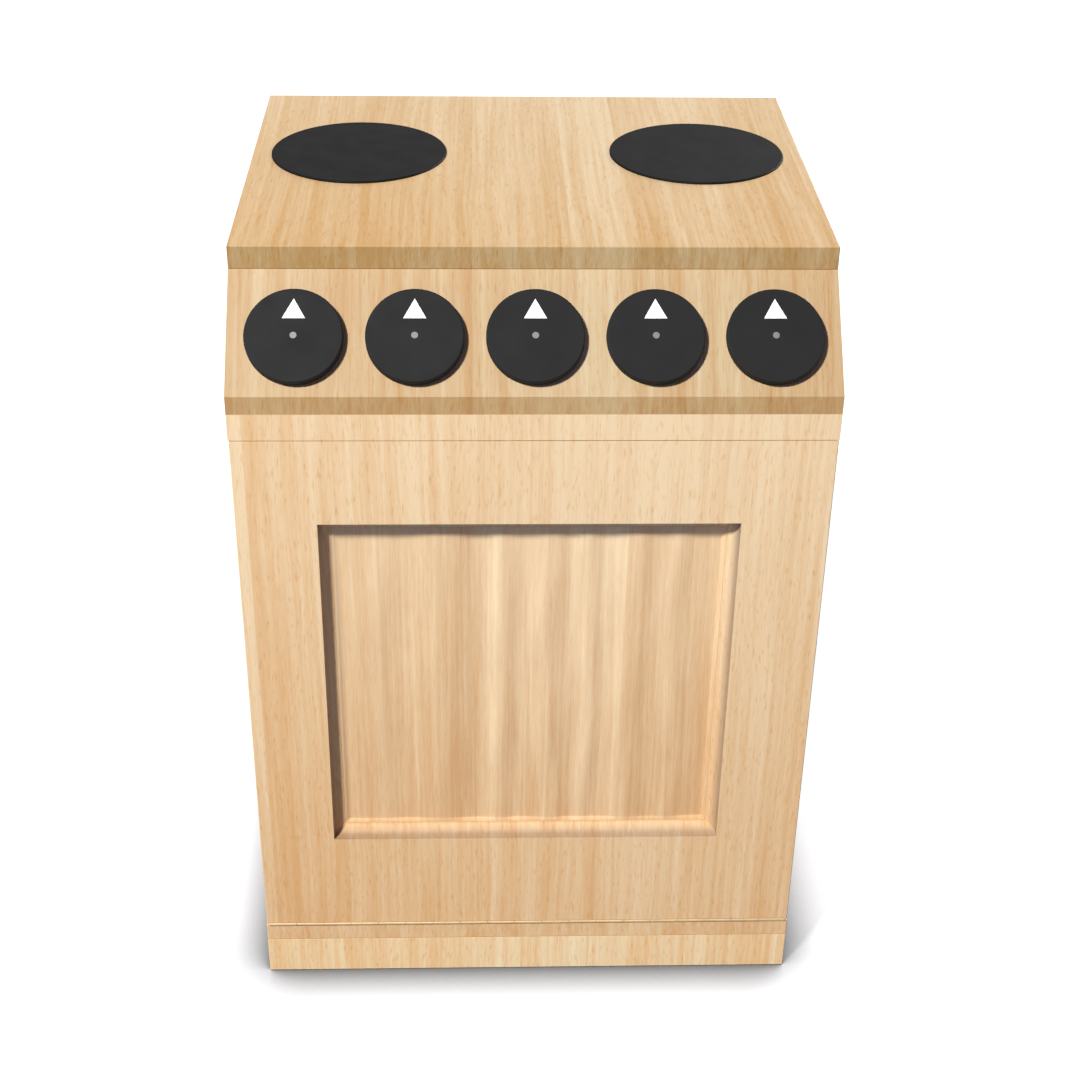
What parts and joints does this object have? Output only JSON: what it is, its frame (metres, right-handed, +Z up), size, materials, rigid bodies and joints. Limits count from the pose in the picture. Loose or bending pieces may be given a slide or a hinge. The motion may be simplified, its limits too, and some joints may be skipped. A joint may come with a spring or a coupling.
{
  "type": "toy oven",
  "caption": "Wooden play cooker with a drop-down oven door, turning knobs on a sloping fascia and round hotplates.",
  "frame": {"origin": "on the floor, at the middle of the footprint", "axes": "+Z up, the door faces -Y, +X to the right as seen from the front"},
  "size_m": [0.4, 0.371, 0.5775],
  "materials": {
    "beech_board": "beech veneer, satin lacquer",
    "beech_door": "beech veneer, satin lacquer",
    "beech_panel": "figured beech, satin lacquer",
    "back_board": "plain beech plywood",
    "dowel_beech": "plain beech",
    "hotplate_paint": "matt black paint on a beech disc",
    "knob_paint": "matt black paint on a beech disc",
    "pointer_white": "white inlay",
    "spindle_steel": "turned steel",
    "spring_steel": "pressed spring steel",
    "pin_steel": "drawn steel wire",
    "hinge_brass": "brushed pale brass",
    "brass_screw": "bright brass",
    "zinc_screw": "zinc plated",
    "strike_steel": "zinc plated",
    "catch_nylon": "moulded nylon",
    "spacer_nylon": "moulded nylon",
    "magnet": "sintered ferrite"
  },
  "bodies": {
    "cabinet": {"side_left": "beech_board", "side_right": "beech_board", "base_board": "beech_board", "worktop": "beech_board", "plinth_front": "beech_board", "plinth_back": "beech_board", "plinth_left": "beech_board", "plinth_right": "beech_board", "fascia": "beech_board", "front_rail": "beech_board", "oven_roof": "beech_board", "oven_shelf": "beech_board", "back_panel": "back_board", "hotplate_left": "hotplate_paint", "hotplate_right": "hotplate_paint", "dowels": "dowel_beech", "back_screws": "zinc_screw", "hinge_leaf_base": "hinge_brass", "hinge_pin": "pin_steel", "hinge_screws_base": "brass_screw", "catch_housing": "catch_nylon", "catch_magnet": "magnet", "catch_screws": "zinc_screw", "knob_spacers": "spacer_nylon"},
    "door": {"door_frame": "beech_door", "door_panel": "beech_panel", "hinge_leaf_door": "hinge_brass", "hinge_screws_door": "brass_screw", "strike_plate": "strike_steel", "strike_screw": "zinc_screw"},
    "knob_1_body": {"knob_1": "knob_paint", "pointer_1": "pointer_white", "spindle_1": "spindle_steel", "retainer_1": "spring_steel"},
    "knob_2_body": {"knob_2": "knob_paint", "pointer_2": "pointer_white", "spindle_2": "spindle_steel", "retainer_2": "spring_steel"},
    "knob_3_body": {"knob_3": "knob_paint", "pointer_3": "pointer_white", "spindle_3": "spindle_steel", "retainer_3": "spring_steel"},
    "knob_4_body": {"knob_4": "knob_paint", "pointer_4": "pointer_white", "spindle_4": "spindle_steel", "retainer_4": "spring_steel"},
    "knob_5_body": {"knob_5": "knob_paint", "pointer_5": "pointer_white", "spindle_5": "spindle_steel", "retainer_5": "spring_steel"}
  },
  "joints": [
    {"name": "door_hinge", "type": "hinge", "parent": "cabinet", "child": "door", "pos_m": [0, -0.1848, 0.0474], "axis": [1, 0, 0], "range_deg": [0, 96]},
    {"name": "knob_1_turn", "type": "hinge", "parent": "cabinet", "child": "knob_1_body", "pos_m": [-0.156, -0.15707, 0.52593], "axis": [0, -0.7071, 0.7071], "continuous": true},
    {"name": "knob_2_turn", "type": "hinge", "parent": "cabinet", "child": "knob_2_body", "pos_m": [-0.078, -0.15707, 0.52593], "axis": [0, -0.7071, 0.7071], "continuous": true},
    {"name": "knob_3_turn", "type": "hinge", "parent": "cabinet", "child": "knob_3_body", "pos_m": [0, -0.15707, 0.52593], "axis": [0, -0.7071, 0.7071], "continuous": true},
    {"name": "knob_4_turn", "type": "hinge", "parent": "cabinet", "child": "knob_4_body", "pos_m": [0.078, -0.15707, 0.52593], "axis": [0, -0.7071, 0.7071], "continuous": true},
    {"name": "knob_5_turn", "type": "hinge", "parent": "cabinet", "child": "knob_5_body", "pos_m": [0.156, -0.15707, 0.52593], "axis": [0, -0.7071, 0.7071], "continuous": true}
  ]
}
